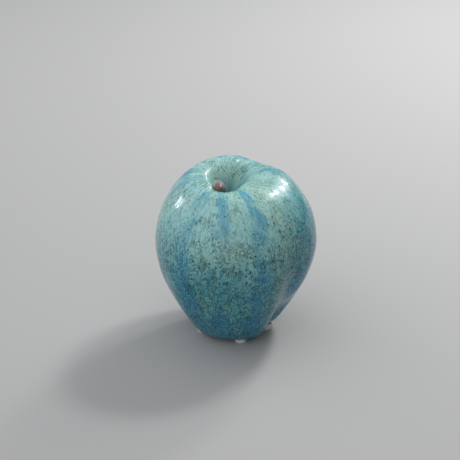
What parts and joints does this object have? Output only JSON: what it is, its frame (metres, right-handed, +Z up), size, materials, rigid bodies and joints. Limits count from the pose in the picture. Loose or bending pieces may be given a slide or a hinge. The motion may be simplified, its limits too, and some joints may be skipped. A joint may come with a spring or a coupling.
{
  "type": "ceramic apple",
  "caption": "Glazed ceramic apple, tall with broad lobed shoulders and a narrow base, a short clay stem and clear stick-on feet.",
  "frame": {"origin": "on the surface it stands on, under the middle of its box", "axes": "+Z up through the apple, -Y the side seen in the picture, +X to the picture's right"},
  "size_m": [0.08, 0.0798, 0.0849],
  "materials": {
    "glaze": "glossy blue-green reactive glaze, pale above and deeper below, with dark specks",
    "stem_clay": "satin brown stain with a thin glaze",
    "clear_rubber": "clear soft plastic"
  },
  "bodies": {
    "root": {"body": "glaze", "stem": "stem_clay", "foot_1": "clear_rubber", "foot_2": "clear_rubber", "foot_3": "clear_rubber", "foot_4": "clear_rubber", "foot_5": "clear_rubber"}
  },
  "joints": []
}
